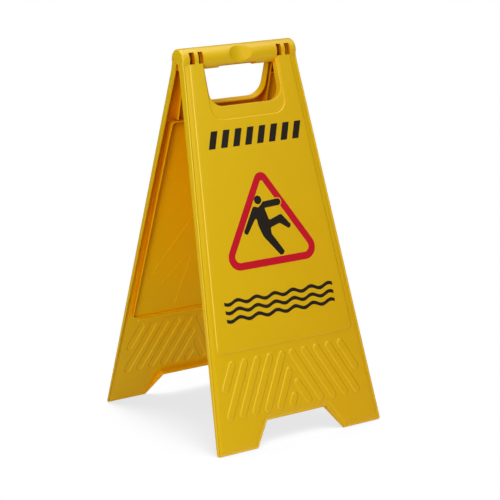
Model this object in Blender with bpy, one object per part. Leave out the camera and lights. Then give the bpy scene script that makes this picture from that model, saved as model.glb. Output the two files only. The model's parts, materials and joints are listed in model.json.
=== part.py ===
"""Folding wet floor sign: two moulded tray panels on one hinge line under a round carrying handle.

Each panel is drawn in its own frame, whose origin is on the hinge axis. There, x runs across the sign,
"down" runs along the panel from the hinge axis to the foot, and "out" is the distance from the middle
plane of the closed sign to the panel's face. Outlines are lists of (x, down) points.
"""

import math

import bmesh
import bpy
from mathutils import Matrix, Vector

# Driving dimensions, in metres and degrees.
OPEN_ANGLE = 30.06
PANEL_LENGTH = 0.5998
FOOT_WIDTH = 0.3064
TOP_WIDTH = 0.2060
FACE_OUT = 0.0155
BORDER_OUT = 0.0140
EDGE_OUT = 0.0010
WALL = 0.0025
HOLLOW_TOP = 0.0120
FLUSH_TOP_X = 0.1047

# Handle tube, which is also the hinge barrel.
TUBE_RADIUS = 0.0171
TUBE_HALF_LENGTH = 0.1048
TUBE_BORE_RADIUS = 0.0095
BARREL_BORE_RADIUS = 0.0144
TUBE_CLEARANCE = 0.0004
TUBE_SEGMENTS = 48

# Sign area, proud of the border.
SIGN_TOP = 0.0020
SIGN_BOTTOM = 0.4490
SIGN_HALF_WIDTH_AT_AXIS = 0.0909
SIGN_WIDENING = 0.0776
SIGN_CORNER = 0.0090
BOX_TOP = 0.1040

# Hand opening and the shallow recess around it.
OPENING_HALF_WIDTH = 0.0660
OPENING_BOTTOM = 0.0775
OPENING_CORNER = 0.0230
RECESS_HALF_WIDTH = 0.0695
RECESS_BOTTOM = 0.0985
RECESS_CORNER = 0.0220
RECESS_OUT = 0.0142

# Notch between the feet.
NOTCH_TOP = 0.5603
NOTCH_TOP_HALF_WIDTH = 0.0566
NOTCH_FOOT_HALF_WIDTH = 0.0806
FOOT_TAPER_START = 0.5660
FOOT_TAPER_OUT = 0.0009
PAST_FLOOR = 0.6250

# Ribs inside the tray.
RIB = 0.0022
RIB_TOP = 0.0100
INNER_UPRIGHT_RIB_X = 0.0740
OUTER_UPRIGHT_RIB_X = 0.0880
CROSS_RIB = 0.0014
CROSS_RIB_DOWN = 0.0390
BOX_RIB_INSET = 0.0005
BOX_RIB_END_OUT = 0.0070
SILL_HEIGHT = 0.0015
SILL_HALF_LENGTH = 0.1100
SILL_FROM = 0.4290

# Herringbone grip bars across the foot end.
BAR_WIDTH = 0.0120
BAR_HEIGHT = 0.0012
BAR_PITCH = 0.0230
BAR_SLOPE = 0.526
BAR_TOP = 0.4670
BAR_BOTTOM = 0.5430
LEFT_EDGE_BAR_BOTTOM = 0.5010
RIGHT_EDGE_BAR_BOTTOM = 0.5070
LEFT_MIDDLE_BAR_TOP = 0.4940
RIGHT_MIDDLE_BAR_TOP = 0.5140
LAST_MIDDLE_BAR_TOP = 0.5330
LEFT_BAR_X = -0.0120
RIGHT_BAR_X = 0.0070

# Hinges: each side has a chamber with a knuckle on a pin, and an empty chamber beside it.
KNUCKLE_CHAMBERS = {"left": (-0.0920, -0.0830), "right": (0.0677, 0.0760)}
EMPTY_CHAMBERS = {"left": (-0.0760, -0.0677), "right": (0.0830, 0.0920)}
WINDOW_TOP = -0.0080
WINDOW_BOTTOM = 0.0100
WINDOW_OUT = 0.0060
KNUCKLE_SLOT_TOP = -0.0095
KNUCKLE_SLOT_OUT = -0.0002
PIN_RADIUS = 0.0049
PIN_BORE_RADIUS = 0.0050
PIN_GRIP = 0.0058
PIN_END_GAP = 0.0004
KNUCKLE_RADIUS = 0.0078
KNUCKLE_SIDE_GAP = 0.0005
KNUCKLE_ARM_DOWN = (0.0005, 0.0200)
KNUCKLE_ARM_OUT = (0.0045, 0.0138)
HUB_RADIUS = 0.0060
HUB_GAP = 0.0004
SHOULDER_DOWN = 0.0015
END_CHEEK_X = 0.1003
CHEEK_GAP = 0.0003
PIN_SEGMENTS = 32

# Thumb dish on the front of the handle, and the flat relief under it.
DISH_HALF_WIDTH = 0.0210
DISH_DEPTH = 0.0050
DISH_SEGMENTS = 96
RELIEF_FROM_X = -0.0340
RELIEF_TO_X = 0.0315
RELIEF_OUT = 0.0144
HANDLE_CORE_HALF_LENGTH = 0.0600
HANDLE_SLOT_HALF_WIDTH = 0.0040
HANDLE_SLOT_INSET = 0.0040

ARC_STEPS = 6
FAR = 0.0400
WELD_DISTANCE = 0.00001
FLOOR_BLOCK_SIZE = 1.0
FLOOR_BLOCK_DEPTH = 0.1

HALF_ANGLE = math.radians(OPEN_ANGLE / 2)
HINGE_HEIGHT = PANEL_LENGTH * math.cos(HALF_ANGLE) - FACE_OUT * math.sin(HALF_ANGLE)
HALF_TOP = TOP_WIDTH / 2
HALF_FOOT = FOOT_WIDTH / 2
UNDER_TUBE = TUBE_RADIUS + 0.0010
FRONT = 1
REAR = -1

YELLOW = (0.658, 0.413, 0.009)
PIN_YELLOW = (0.600, 0.330, 0.012)
PANEL_ROUGHNESS = 0.45
PIN_ROUGHNESS = 0.40
SHARP_ANGLE = math.radians(35)


def half_width(down):
    """Half of the panel's width at a distance down from the hinge axis."""
    return HALF_TOP + (HALF_FOOT - HALF_TOP) * down / PANEL_LENGTH


def sign_half_width(down):
    """Half of the raised sign area's width."""
    return SIGN_HALF_WIDTH_AT_AXIS + SIGN_WIDENING * down


def notch_half_width(down):
    """Half of the width of the notch between the feet."""
    slope = (NOTCH_FOOT_HALF_WIDTH - NOTCH_TOP_HALF_WIDTH) / (PANEL_LENGTH - NOTCH_TOP)
    return NOTCH_TOP_HALF_WIDTH + slope * (down - NOTCH_TOP)


def both_sides(right_half):
    """A symmetric outline from its right half, listed from the middle line outwards."""
    return right_half + [(-x, down) for x, down in reversed(right_half)]


def rounded(points, radii):
    """The outline with the corners named in radii, index to radius, turned into arcs."""
    result = []
    for index, point in enumerate(points):
        if index not in radii:
            result.append(point)
            continue
        corner = Vector(point)
        before = (Vector(points[index - 1]) - corner).normalized()
        after = (Vector(points[(index + 1) % len(points)]) - corner).normalized()
        half_turn = before.angle(after) / 2
        centre = corner + (before + after).normalized() * radii[index] / math.sin(half_turn)
        start = corner + before * radii[index] / math.tan(half_turn) - centre
        end = corner + after * radii[index] / math.tan(half_turn) - centre
        sweep = start.angle_signed(end)
        for step in range(ARC_STEPS + 1):
            turned = Matrix.Rotation(-sweep * step / ARC_STEPS, 2) @ start
            result.append(tuple(centre + turned))
    return result


def new_collection(name, hidden):
    collection = bpy.data.collections.new(name)
    bpy.context.scene.collection.children.link(collection)
    collection.hide_render = hidden
    return collection


def new_material(name, colour, roughness):
    material = bpy.data.materials.new(name)
    material.use_nodes = True
    shader = material.node_tree.nodes["Principled BSDF"]
    shader.inputs["Base Color"].default_value = (*colour, 1.0)
    shader.inputs["Roughness"].default_value = roughness
    shader.inputs["Metallic"].default_value = 0.0
    material.diffuse_color = (*colour, 1.0)
    return material


def new_frame(name, tilt):
    """An empty on the hinge axis, tilted with its panel."""
    empty = bpy.data.objects.new(name, None)
    empty.location = (0.0, 0.0, HINGE_HEIGHT)
    empty.rotation_euler = (tilt, 0.0, 0.0)
    bpy.context.scene.collection.objects.link(empty)
    return empty


class Panel:
    """Makes solids in one panel's frame: side is FRONT or REAR."""

    def __init__(self, side, frame, parts, tools):
        self.side = side
        self.frame = frame
        self.parts = parts
        self.tools = tools

    def place(self, name, mesh, collection):
        """Puts a mesh, drawn with out along -y, on this panel's side of the middle plane."""
        if self.side == REAR:
            mesh.transform(Matrix.Scale(-1, 4, (0, 1, 0)))
            mesh.flip_normals()
        thing = bpy.data.objects.new(name, mesh)
        thing.parent = self.frame
        collection.objects.link(thing)
        if collection is self.tools:
            thing.hide_render = True
            thing.display_type = "WIRE"
        return thing

    def plate(self, name, outlines, inner, outer, collection=None):
        """A flat plate between two out distances, from one or more closed outlines."""
        curve = bpy.data.curves.new(name, "CURVE")
        curve.dimensions = "2D"
        curve.fill_mode = "BOTH"
        curve.extrude = (outer - inner) / 2
        for outline in outlines:
            spline = curve.splines.new("POLY")
            spline.points.add(len(outline) - 1)
            for point, (x, down) in zip(spline.points, outline):
                point.co = (x, -down, 0.0, 1.0)
            spline.use_cyclic_u = True
        stand_up = Matrix.Rotation(math.pi / 2, 4, "X")
        outward = Matrix.Translation((0.0, -(inner + outer) / 2, 0.0))
        mesh = mesh_from_curve(curve, outward @ stand_up)
        return self.place(name, mesh, collection or self.tools)

    def bar_along_x(self, name, profile, low_x, high_x):
        """A prism along x whose profile is a list of (down, out) points."""
        curve = bpy.data.curves.new(name, "CURVE")
        curve.dimensions = "2D"
        curve.fill_mode = "BOTH"
        curve.extrude = (high_x - low_x) / 2
        spline = curve.splines.new("POLY")
        spline.points.add(len(profile) - 1)
        for point, (down, out) in zip(spline.points, profile):
            point.co = (-out, -down, 0.0, 1.0)
        spline.use_cyclic_u = True
        across = Matrix(((0, 0, 1, 0), (1, 0, 0, 0), (0, 1, 0, 0), (0, 0, 0, 1)))
        middle = Matrix.Translation(((low_x + high_x) / 2, 0.0, 0.0))
        mesh = mesh_from_curve(curve, middle @ across)
        return self.place(name, mesh, self.tools)

    def cylinders(self, name, radius, spans, segments, collection=None):
        """Cylinders on the hinge axis, one for each (low x, high x) span."""
        mesh = bpy.data.meshes.new(name)
        shape = bmesh.new()
        for low_x, high_x in spans:
            matrix = Matrix.Translation(((low_x + high_x) / 2, 0, 0)) @ Matrix.Rotation(math.pi / 2, 4, "Y")
            bmesh.ops.create_cone(
                shape,
                cap_ends=True,
                segments=segments,
                radius1=radius,
                radius2=radius,
                depth=high_x - low_x,
                matrix=matrix,
            )
        shape.to_mesh(mesh)
        shape.free()
        return self.place(name, mesh, collection or self.tools)

    def boxes(self, name, boxes):
        """Boxes given as ((low x, high x), (low down, high down), (low out, high out))."""
        mesh = bpy.data.meshes.new(name)
        shape = bmesh.new()
        for (x0, x1), (down0, down1), (out0, out1) in boxes:
            centre = Matrix.Translation(((x0 + x1) / 2, -(out0 + out1) / 2, -(down0 + down1) / 2))
            size = Matrix.Diagonal((x1 - x0, out1 - out0, down1 - down0, 1.0))
            bmesh.ops.create_cube(shape, size=1.0, matrix=centre @ size)
        shape.to_mesh(mesh)
        shape.free()
        return self.place(name, mesh, self.tools)


def mesh_from_curve(curve, matrix):
    """The closed mesh of a filled curve, moved by the matrix; the curve is removed."""
    holder = bpy.data.objects.new(curve.name, curve)
    bpy.context.scene.collection.objects.link(holder)
    graph = bpy.context.evaluated_depsgraph_get()
    mesh = bpy.data.meshes.new_from_object(holder.evaluated_get(graph))
    bpy.data.objects.remove(holder)
    bpy.data.curves.remove(curve)
    mesh.transform(matrix)
    shape = bmesh.new()
    shape.from_mesh(mesh)
    bmesh.ops.remove_doubles(shape, verts=shape.verts, dist=WELD_DISTANCE)
    bmesh.ops.recalc_face_normals(shape, faces=shape.faces)
    shape.to_mesh(mesh)
    shape.free()
    return mesh


def combine(target, operation, *tools):
    """Adds one exact Boolean modifier for each tool."""
    for tool in tools:
        boolean = target.modifiers.new(tool.name, "BOOLEAN")
        boolean.operation = operation
        boolean.solver = "EXACT"
        boolean.object = tool


def capsule(start, end, width):
    """A round-ended bar's outline between the centres of its two ends."""
    start, end = Vector(start), Vector(end)
    along = (end - start).normalized() * width / 2
    points = []
    for centre, direction in ((end, along), (start, -along)):
        for step in range(ARC_STEPS + 1):
            turn = math.pi / 2 - math.pi * step / ARC_STEPS
            points.append(tuple(centre + Matrix.Rotation(turn, 2) @ direction))
    return points


def bar_on_left(order, top=BAR_TOP, bottom=BAR_BOTTOM):
    x = LEFT_BAR_X - BAR_PITCH * order
    lean = [x - BAR_SLOPE * (down - BAR_TOP) for down in (top, bottom)]
    return capsule((lean[0], top), (lean[1], bottom), BAR_WIDTH)


def bar_on_right(order, top=BAR_TOP, bottom=BAR_BOTTOM):
    x = RIGHT_BAR_X + BAR_PITCH * order
    lean = [x + BAR_SLOPE * (down - BAR_TOP) for down in (top, bottom)]
    return capsule((lean[0], top), (lean[1], bottom), BAR_WIDTH)


def grip_bars():
    """The herringbone: full bars, a short one at each edge, and short ones that interleave mid-way."""
    bars = [bar_on_left(order) for order in range(4)]
    bars += [bar_on_right(order) for order in range(4)]
    bars += [bar_on_left(4, bottom=LEFT_EDGE_BAR_BOTTOM), bar_on_right(4, bottom=RIGHT_EDGE_BAR_BOTTOM)]
    bars += [bar_on_left(-1, top=LEFT_MIDDLE_BAR_TOP), bar_on_right(-1, top=RIGHT_MIDDLE_BAR_TOP)]
    bars += [bar_on_left(-2, top=LAST_MIDDLE_BAR_TOP)]
    return bars


def panel_outline():
    """The whole panel, drawn past the floor: the feet are trimmed level afterwards."""
    flush_down = PANEL_LENGTH * (FLUSH_TOP_X - HALF_TOP) / (HALF_FOOT - HALF_TOP)
    return both_sides(
        [
            (FLUSH_TOP_X, 0.0),
            (FLUSH_TOP_X, flush_down),
            (half_width(PAST_FLOOR), PAST_FLOOR),
            (notch_half_width(PAST_FLOOR), PAST_FLOOR),
            (NOTCH_TOP_HALF_WIDTH, NOTCH_TOP),
        ]
    )


def hollow_outline():
    """The panel outline moved in by the wall, left open at the feet."""
    lean = WALL * math.hypot(1.0, (NOTCH_FOOT_HALF_WIDTH - NOTCH_TOP_HALF_WIDTH) / (PANEL_LENGTH - NOTCH_TOP))
    past = PAST_FLOOR + FAR
    return both_sides(
        [
            (half_width(HOLLOW_TOP) - WALL, HOLLOW_TOP),
            (half_width(past) - WALL, past),
            (notch_half_width(past) + lean, past),
            (notch_half_width(NOTCH_TOP - WALL) + lean, NOTCH_TOP - WALL),
        ]
    )


def sign_outline(top, inset):
    bottom = SIGN_BOTTOM - inset
    points = both_sides(
        [(sign_half_width(top) - inset, top), (sign_half_width(bottom) - inset, bottom)]
    )
    corner = SIGN_CORNER - min(inset, SIGN_CORNER / 2)
    return rounded(points, {1: corner, 2: corner})


def u_outline(half, bottom, corner):
    """The hand opening's shape: straight sides and a round-cornered bottom, from inside the tube down."""
    points = both_sides([(half, 0.0), (half, bottom)])
    return rounded(points, {1: corner, 2: corner})


def tray(panel, name):
    """The panel without its hinge: face, border, side walls, ribs, grip bars and hand opening."""
    body = panel.plate(name, [panel_outline()], EDGE_OUT, BORDER_OUT, panel.parts)
    raised = panel.plate(name + "_sign", [sign_outline(SIGN_TOP, 0.0)], BORDER_OUT - WALL / 2, FACE_OUT)
    bars = panel.plate(name + "_bars", grip_bars(), BORDER_OUT - WALL / 2, BORDER_OUT + BAR_HEIGHT)
    combine(body, "UNION", raised, bars)
    hollow = panel.plate(name + "_hollow", [hollow_outline()], -FAR, BORDER_OUT - WALL)
    pocket = panel.plate(name + "_pocket", [sign_outline(BOX_TOP, WALL)], 0.0, FACE_OUT - WALL)
    combine(body, "DIFFERENCE", hollow, pocket)
    combine(body, "UNION", box_rib(panel, name), *upright_ribs(panel, name), opening_rim(panel, name))
    recess = u_outline(RECESS_HALF_WIDTH, RECESS_BOTTOM, RECESS_CORNER)
    opening = u_outline(OPENING_HALF_WIDTH, OPENING_BOTTOM, OPENING_CORNER)
    shallow = panel.plate(name + "_recess", [recess], RECESS_OUT, FAR)
    through = panel.plate(name + "_opening", [opening], -FAR, FAR)
    taper = panel.bar_along_x(
        name + "_foot_taper",
        [
            (FOOT_TAPER_START, FOOT_TAPER_OUT),
            (PANEL_LENGTH, BORDER_OUT - WALL),
            (PAST_FLOOR + FAR, BORDER_OUT - WALL),
            (PAST_FLOOR + FAR, -FAR),
            (FOOT_TAPER_START, -FAR),
        ],
        -FOOT_WIDTH,
        FOOT_WIDTH,
    )
    combine(body, "DIFFERENCE", shallow, through, taper)
    return body


def box_rib(panel, name):
    """The rib behind the sign area's edge, which gets lower towards the foot, and the sill under it."""
    root = BORDER_OUT - WALL / 2
    ring = panel.plate(
        name + "_box_rib",
        [sign_outline(BOX_TOP - RIB, BOX_RIB_INSET), sign_outline(BOX_TOP, BOX_RIB_INSET + RIB)],
        EDGE_OUT,
        root,
    )
    wedge = panel.bar_along_x(
        name + "_rib_taper",
        [(BOX_TOP, EDGE_OUT), (SIGN_BOTTOM, BOX_RIB_END_OUT), (SIGN_BOTTOM, -FAR), (BOX_TOP, -FAR)],
        -FOOT_WIDTH,
        FOOT_WIDTH,
    )
    sill_top = BORDER_OUT - WALL - SILL_HEIGHT
    sill_cut = panel.boxes(
        name + "_sill_cut",
        [((-SILL_HALF_LENGTH, SILL_HALF_LENGTH), (SILL_FROM, SIGN_BOTTOM + FAR), (-FAR, sill_top))],
    )
    combine(ring, "DIFFERENCE", wedge, sill_cut)
    return ring


def upright_ribs(panel, name):
    """Two ribs beside the hand opening, and a short cross rib from the inner one to the side wall.

    The rear panel's pair stands under its knuckles, and the front panel's pair is the other way round.
    """
    root = BORDER_OUT - WALL / 2
    offset = panel.side * (OUTER_UPRIGHT_RIB_X - INNER_UPRIGHT_RIB_X) / 2
    middle = (OUTER_UPRIGHT_RIB_X + INNER_UPRIGHT_RIB_X) / 2
    centres = [-middle + offset, middle + offset]
    wall = half_width(CROSS_RIB_DOWN) - WALL / 2
    wide_bay = (-wall, centres[0]) if panel.side == FRONT else (centres[1], wall)
    uprights = panel.boxes(
        name + "_upright_ribs",
        [((x - RIB / 2, x + RIB / 2), (RIB_TOP, BOX_TOP - RIB / 2), (EDGE_OUT, root)) for x in centres],
    )
    cross = panel.boxes(
        name + "_cross_rib",
        [(wide_bay, (CROSS_RIB_DOWN - CROSS_RIB, CROSS_RIB_DOWN), (2 * EDGE_OUT, root))],
    )
    return uprights, cross


def opening_rim(panel, name):
    """The wall around the hand opening, full depth."""
    outer = u_outline(OPENING_HALF_WIDTH + WALL, OPENING_BOTTOM + WALL, OPENING_CORNER + WALL)
    return panel.plate(name + "_opening_rim", [outer], EDGE_OUT, BORDER_OUT - WALL / 2)


def dish_cutter(panel):
    """An upright cylinder that scoops the thumb dish out of the front of the handle."""
    radius = (DISH_HALF_WIDTH**2 + DISH_DEPTH**2) / (2 * DISH_DEPTH)
    mesh = bpy.data.meshes.new("thumb_dish")
    shape = bmesh.new()
    bmesh.ops.create_cone(
        shape,
        cap_ends=True,
        segments=DISH_SEGMENTS,
        radius1=radius,
        radius2=radius,
        depth=4 * TUBE_RADIUS,
        matrix=Matrix.Translation((0.0, DISH_DEPTH - TUBE_RADIUS - radius, 0.0)),
    )
    shape.to_mesh(mesh)
    shape.free()
    return panel.place("thumb_dish", mesh, panel.tools)


def rear_slot_boxes():
    """Room behind the knuckle chambers for the rear panel's knuckles to enter and to swing."""
    return [
        (span, (KNUCKLE_SLOT_TOP, FAR), (-FAR, KNUCKLE_SLOT_OUT)) for span in KNUCKLE_CHAMBERS.values()
    ]


def cheek_cutter(panel):
    """Room in the handle's ends for the rear panel's side walls, all round the hub."""
    down = SHOULDER_DOWN - HUB_GAP
    along = Vector((math.cos(2 * HALF_ANGLE), -math.sin(2 * HALF_ANGLE)))
    outward = Vector((-math.sin(2 * HALF_ANGLE), -math.cos(2 * HALF_ANGLE)))
    corner = along * down
    start = corner + outward * math.sqrt(HUB_RADIUS**2 - down**2)
    far_corner = corner + outward * FAR
    arc_from = math.atan2(start.y, start.x)
    arc_to = math.atan2(EDGE_OUT, math.sqrt(HUB_RADIUS**2 - EDGE_OUT**2))
    arc = []
    for step in range(2 * ARC_STEPS + 1):
        turn = arc_from + (arc_to - arc_from) * step / (2 * ARC_STEPS)
        arc.append((HUB_RADIUS * math.cos(turn), HUB_RADIUS * math.sin(turn)))
    profile = [tuple(far_corner)] + arc + [(FAR, EDGE_OUT), (FAR, -FAR)]
    right = panel.bar_along_x("right_cheek_room", profile, END_CHEEK_X, END_CHEEK_X + FAR)
    left = panel.bar_along_x("left_cheek_room", profile, -END_CHEEK_X - FAR, -END_CHEEK_X)
    return right, left


def pin_span(side):
    low_x, high_x = KNUCKLE_CHAMBERS[side]
    return low_x - PIN_GRIP, high_x + PIN_GRIP


def front_panel(panel):
    body = tray(panel, "front_panel")
    tube = panel.cylinders(
        "handle_tube", TUBE_RADIUS, [(-TUBE_HALF_LENGTH, TUBE_HALF_LENGTH)], TUBE_SEGMENTS
    )
    combine(body, "UNION", tube)
    chambers = list(KNUCKLE_CHAMBERS.values()) + list(EMPTY_CHAMBERS.values())
    barrel_bores = panel.cylinders("barrel_bores", BARREL_BORE_RADIUS, chambers, TUBE_SEGMENTS)
    core = panel.cylinders(
        "handle_core", TUBE_BORE_RADIUS, [(-HANDLE_CORE_HALF_LENGTH, HANDLE_CORE_HALF_LENGTH)], PIN_SEGMENTS
    )
    windows = panel.boxes(
        "hinge_windows", [(span, (WINDOW_TOP, WINDOW_BOTTOM), (WINDOW_OUT, FAR)) for span in chambers]
    )
    slots = panel.boxes("knuckle_slots", rear_slot_boxes())
    handle_slot = panel.boxes(
        "handle_slot",
        [
            (
                (RELIEF_FROM_X + HANDLE_SLOT_INSET, RELIEF_TO_X - HANDLE_SLOT_INSET),
                (0.0, UNDER_TUBE),
                (-HANDLE_SLOT_HALF_WIDTH, HANDLE_SLOT_HALF_WIDTH),
            )
        ],
    )
    relief = panel.boxes(
        "handle_relief", [((RELIEF_FROM_X, RELIEF_TO_X), (RELIEF_OUT, UNDER_TUBE), (-FAR, FAR))]
    )
    spans = [pin_span(side) for side in KNUCKLE_CHAMBERS]
    bores = panel.cylinders(
        "pin_bores",
        PIN_BORE_RADIUS,
        [(low_x - PIN_END_GAP, high_x + PIN_END_GAP) for low_x, high_x in spans],
        PIN_SEGMENTS,
    )
    combine(body, "DIFFERENCE", barrel_bores, core, windows, slots, handle_slot, relief)
    combine(body, "DIFFERENCE", dish_cutter(panel), bores, *cheek_cutter(panel))
    return body


def rear_panel(panel):
    body = tray(panel, "rear_panel")
    around_tube = panel.cylinders(
        "room_for_tube",
        TUBE_RADIUS + TUBE_CLEARANCE,
        [(-END_CHEEK_X - CHEEK_GAP, END_CHEEK_X + CHEEK_GAP)],
        TUBE_SEGMENTS,
    )
    around_hub = panel.cylinders("room_for_hub", HUB_RADIUS + HUB_GAP, [(-FAR * 3, FAR * 3)], PIN_SEGMENTS)
    above_shoulder = panel.boxes(
        "above_shoulder", [((-FOOT_WIDTH, FOOT_WIDTH), (-FAR, SHOULDER_DOWN), (-FAR, FAR))]
    )
    between_panels = panel.boxes(
        "between_panels", [((-FOOT_WIDTH, FOOT_WIDTH), (-FAR, FAR), (-FAR, EDGE_OUT - CHEEK_GAP))]
    )
    ears = panel.cylinders(
        "ears",
        TUBE_RADIUS,
        [(-TUBE_HALF_LENGTH, -END_CHEEK_X), (END_CHEEK_X, TUBE_HALF_LENGTH)],
        TUBE_SEGMENTS,
    )
    combine(body, "UNION", ears)
    combine(body, "DIFFERENCE", around_tube, around_hub, above_shoulder, between_panels)
    spans = [
        (low_x + KNUCKLE_SIDE_GAP, high_x - KNUCKLE_SIDE_GAP) for low_x, high_x in KNUCKLE_CHAMBERS.values()
    ]
    rings = panel.cylinders("knuckle_rings", KNUCKLE_RADIUS, spans, PIN_SEGMENTS)
    arms = panel.boxes("knuckle_arms", [(span, KNUCKLE_ARM_DOWN, KNUCKLE_ARM_OUT) for span in spans])
    bores = panel.cylinders("knuckle_bores", PIN_BORE_RADIUS, [(-FAR * 3, FAR * 3)], PIN_SEGMENTS)
    combine(body, "UNION", rings, arms)
    combine(body, "DIFFERENCE", bores)
    return body


def hinge_pin(panel, side):
    return panel.cylinders("hinge_pin_" + side, PIN_RADIUS, [pin_span(side)], PIN_SEGMENTS, panel.parts)


def floor_cutter(tools):
    """Everything under the floor, which trims the feet level."""
    mesh = bpy.data.meshes.new("below_floor")
    shape = bmesh.new()
    centre = Matrix.Translation((0.0, 0.0, -FLOOR_BLOCK_DEPTH / 2))
    size = Matrix.Diagonal((FLOOR_BLOCK_SIZE, FLOOR_BLOCK_SIZE, FLOOR_BLOCK_DEPTH, 1.0))
    bmesh.ops.create_cube(shape, size=1.0, matrix=centre @ size)
    shape.to_mesh(mesh)
    shape.free()
    cutter = bpy.data.objects.new("below_floor", mesh)
    cutter.hide_render = True
    cutter.display_type = "WIRE"
    tools.objects.link(cutter)
    return cutter


def finish(body, material):
    body.data.materials.clear()
    body.data.materials.append(material)
    for polygon in body.data.polygons:
        polygon.material_index = 0


def main():
    for thing in list(bpy.data.objects):
        bpy.data.objects.remove(thing)
    parts = new_collection("wet_floor_sign", hidden=False)
    tools = new_collection("cutters", hidden=True)
    front = Panel(FRONT, new_frame("front_frame", -HALF_ANGLE), parts, tools)
    rear = Panel(REAR, new_frame("rear_frame", HALF_ANGLE), parts, tools)
    below_floor = floor_cutter(tools)
    front_body = front_panel(front)
    rear_body = rear_panel(rear)
    combine(front_body, "DIFFERENCE", below_floor)
    combine(rear_body, "DIFFERENCE", below_floor)
    finish(front_body, new_material("front_panel_plastic", YELLOW, PANEL_ROUGHNESS))
    finish(rear_body, new_material("rear_panel_plastic", YELLOW, PANEL_ROUGHNESS))
    pin_plastic = new_material("hinge_pin_plastic", PIN_YELLOW, PIN_ROUGHNESS)
    for side in KNUCKLE_CHAMBERS:
        pin = hinge_pin(front, side)
        finish(pin, pin_plastic)
        pin.data.shade_smooth()
        pin.data.set_sharp_from_angle(angle=SHARP_ANGLE)


main()
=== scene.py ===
"""Looks of the folding wet floor sign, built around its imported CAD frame.

Shapes are drawn in a panel's own frame, in millimetres: u runs across the sign, s runs along the panel from
the hinge axis to the foot, and n is the distance outwards from the middle plane of the closed sign.
"""

import json
import math

import bmesh
import bpy
from mathutils import Matrix, Vector, geometry


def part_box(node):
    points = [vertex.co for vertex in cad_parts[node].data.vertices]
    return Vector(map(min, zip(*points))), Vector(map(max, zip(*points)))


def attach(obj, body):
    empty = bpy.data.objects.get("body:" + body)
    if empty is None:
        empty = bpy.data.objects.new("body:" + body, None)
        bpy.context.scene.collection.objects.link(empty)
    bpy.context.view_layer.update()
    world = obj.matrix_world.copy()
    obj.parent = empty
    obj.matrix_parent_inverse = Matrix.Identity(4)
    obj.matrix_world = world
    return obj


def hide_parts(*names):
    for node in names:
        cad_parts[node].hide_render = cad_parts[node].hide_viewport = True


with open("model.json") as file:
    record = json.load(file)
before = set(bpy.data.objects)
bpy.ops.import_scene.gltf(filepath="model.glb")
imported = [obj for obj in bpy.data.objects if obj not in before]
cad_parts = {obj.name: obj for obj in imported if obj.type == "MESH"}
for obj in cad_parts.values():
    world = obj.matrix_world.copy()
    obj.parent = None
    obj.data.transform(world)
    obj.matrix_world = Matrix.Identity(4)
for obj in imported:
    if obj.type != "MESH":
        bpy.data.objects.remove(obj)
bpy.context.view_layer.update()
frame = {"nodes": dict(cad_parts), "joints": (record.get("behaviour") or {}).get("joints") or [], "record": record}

MM = 0.001
FRONT = 1
REAR = -1


def mount(name):
    return next(m for m in frame["record"]["mounts"] if m["name"] == name)


# Driving dimensions, from the frame.
FRONT_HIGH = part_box("front_panel")[1]
HINGE = next(j for j in frame["joints"] if j["name"] == "fold")
HINGE_Z = HINGE["pos_m"][2] / MM
OUTWARD = Vector(mount("front_sign_face")["axis"])
HALF_ANGLE = math.atan2(OUTWARD.z, -OUTWARD.y)
SIN = math.sin(HALF_ANGLE)
COS = math.cos(HALF_ANGLE)
FACE_POINT = Vector(mount("front_sign_face")["pos_m"]) / MM
FACE = FACE_POINT.y * -COS + (FACE_POINT.z - HINGE_Z) * SIN
TUBE_R = FRONT_HIGH.z / MM - HINGE_Z
FOOT_HALF = FRONT_HIGH.x / MM

# The panel's own sizes, in millimetres.
BORDER = FACE - 1.5
WALL = 2.5
EDGE = 1.0
FLOOR_SIDE = BORDER - WALL
SIGN_BACK = FACE - WALL
TOP_HALF = 103.0
PANEL_TOP = -15.0
TRIM_TOP = -2.0
PANEL_FOOT = HINGE_Z / COS + BORDER * SIN / COS
NOTCH_TOP = 560.3
NOTCH_TOP_HALF = 56.6
NOTCH_FOOT_HALF = 80.6
FOOT_TAPER = (566.0, 598.0)
SIGN_TOP = -4.0
SIGN_FOOT = 449.0
SIGN_TOP_HALF = 91.3
SIGN_WIDENING = 0.0776
BOX_TOP = 101.8
RIB = 2.2
ARC = 10

# The handle and the hinge.
TUBE_HALF = 104.8
CHEEK = 100.3
CHAMBERS_WITH_KNUCKLE = [(-92.0, -83.0), (67.7, 76.0)]
CHAMBERS_EMPTY = [(-76.0, -67.7), (83.0, 92.0)]
WINDOW = (-8.0, 10.0)
PIN_BORE = 5.0
KNUCKLE_R = 7.8
HUB_R = 6.0
GAP = 0.4
SHOULDER = 1.5
TUBE_FILLET = 3.5
EAR_FILLET = 0.2
ROUND = 144
BEYOND = 200.0
DEPTH = 40.0

# The hand opening, the recess round it and the parts inside the tray.
OPENING_HALF = 66.0
OPENING_SPAN = (8.0, 77.5)
OPENING_CORNER = 23.0
RECESS_HALF = 69.0
RECESS_SPAN = (4.9, 98.5)
RECESS_CORNER = 22.0
RECESS_DEPTH = 2.2
RECESS_FADE = (8.0, 66.0)
RIB_SLOPE = 6.0
RIB_SLOPE_LENGTH = 335.0
RIB_FOOT_LEVEL = 10.2
RIB_FOOT_FADE = (438.0, 446.0)
UPRIGHT_SPAN = (12.0, BOX_TOP - 1.6)
UPRIGHT_CORNER = 0.4
UPRIGHT_HALF = 81.0
UPRIGHT_SHIFT = 7.0
CREASE_WIDTH = 0.9
SILL_HALF = 112.0
SILL_CORNER = 3.4
SILL_SPAN = (SIGN_FOOT + 1.5, SIGN_FOOT + 8.5)
FOOT_CUT_FADE = (584.0, 592.0)

# Points closer than this are one point: in millimetres in a drawing, and in metres in a finished mesh.
DRAWN_MERGE = 0.03
MESH_MERGE = 0.000002


def half_width(s):
    return TOP_HALF + (FOOT_HALF - TOP_HALF) * s / (PANEL_FOOT + 0.4)


def sign_half(s):
    return SIGN_TOP_HALF + SIGN_WIDENING * s


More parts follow.
